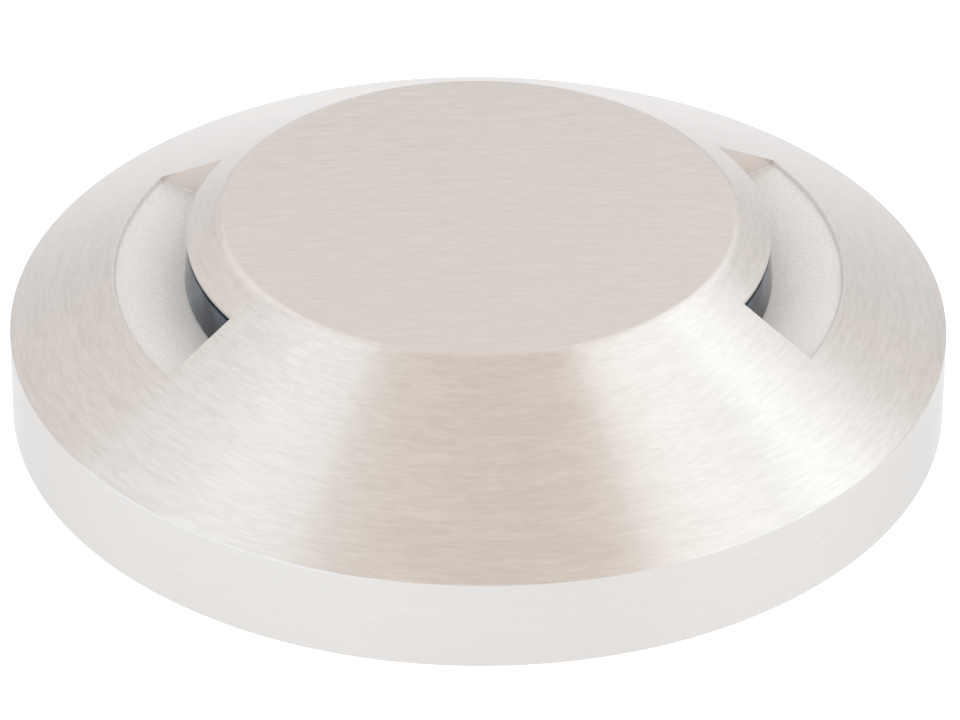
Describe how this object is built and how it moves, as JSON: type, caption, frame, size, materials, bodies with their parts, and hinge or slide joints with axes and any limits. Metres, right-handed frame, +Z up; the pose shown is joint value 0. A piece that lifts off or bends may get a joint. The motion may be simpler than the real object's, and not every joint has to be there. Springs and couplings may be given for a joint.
{
  "type": "led indicator light",
  "caption": "Low round ground marker light: brushed steel cone with opposite curved side windows under a flat tread face, turned onto a keyhole mounting plate.",
  "frame": {"origin": "middle of the footprint, at ground level", "axes": "+Z up through the tread face, +X out of one window and -X out of the other"},
  "size_m": [0.1, 0.1, 0.0229],
  "materials": {
    "brushed_stainless": "satin brushed, cast grain in the recesses",
    "plain_stainless": "plain mill finish",
    "cast_aluminium": "die-cast, lightly blasted",
    "window_glass": "clear toughened glass over a dark inside",
    "rubber": "moulded, matte",
    "foam": "closed-cell foam, matte",
    "dark_reflector": "moulded and metallised, smoky",
    "white_board": "white solder resist",
    "green_board": "green solder resist",
    "phosphor": "phosphor in clear silicone",
    "ferrite": "sintered, matte",
    "capacitor_can": "drawn can, satin",
    "black_epoxy": "moulded epoxy",
    "grey_plastic": "moulded",
    "thermal_pad": "soft silicone, matte",
    "red_wire": "extruded insulation",
    "black_wire": "extruded insulation"
  },
  "bodies": {
    "mounting": {"mounting_plate": "plain_stainless"},
    "luminaire": {"cover": "brushed_stainless", "ground_gasket": "rubber", "keyhole_stud_1": "plain_stainless", "keyhole_stud_2": "plain_stainless", "keyhole_stud_3": "plain_stainless", "keyhole_stud_4": "plain_stainless", "base_plate": "cast_aluminium", "face_seal": "rubber", "anti_rattle_ring": "foam", "base_screw_1": "plain_stainless", "base_screw_2": "plain_stainless", "base_screw_3": "plain_stainless", "base_screw_4": "plain_stainless", "base_screw_5": "plain_stainless", "base_screw_6": "plain_stainless", "gland_seal": "rubber", "gland_washer": "plain_stainless", "gland_nut": "plain_stainless", "thermal_pad": "thermal_pad", "heat_spreader": "cast_aluminium", "spreader_screw_1": "plain_stainless", "spreader_screw_2": "plain_stainless", "driver_board": "green_board", "board_screw_1": "plain_stainless", "board_screw_2": "plain_stainless", "board_screw_3": "plain_stainless", "board_screw_4": "plain_stainless", "inductor": "ferrite", "capacitor_in": "capacitor_can", "capacitor_out": "capacitor_can", "surge_diode": "black_epoxy", "rectifier": "black_epoxy", "controller_chip": "black_epoxy", "supply_terminal": "grey_plastic", "window_lens_right": "window_glass", "window_lens_left": "window_glass", "lens_gasket_right": "rubber", "lens_gasket_left": "rubber", "led_board_right": "white_board", "led_board_left": "white_board", "reflector_right": "dark_reflector", "reflector_left": "dark_reflector", "led_right_1": "phosphor", "led_right_2": "phosphor", "led_right_3": "phosphor", "led_left_1": "phosphor", "led_left_2": "phosphor", "led_left_3": "phosphor", "led_lead_red_right": "red_wire", "led_lead_red_left": "red_wire", "led_lead_black_right": "black_wire", "led_lead_black_left": "black_wire"}
  },
  "joints": [
    {"name": "lamp_turn", "type": "hinge", "parent": "mounting", "child": "luminaire", "pos_m": [0, 0, 0], "axis": [0, 0, 1], "range_deg": [0, 22]}
  ]
}
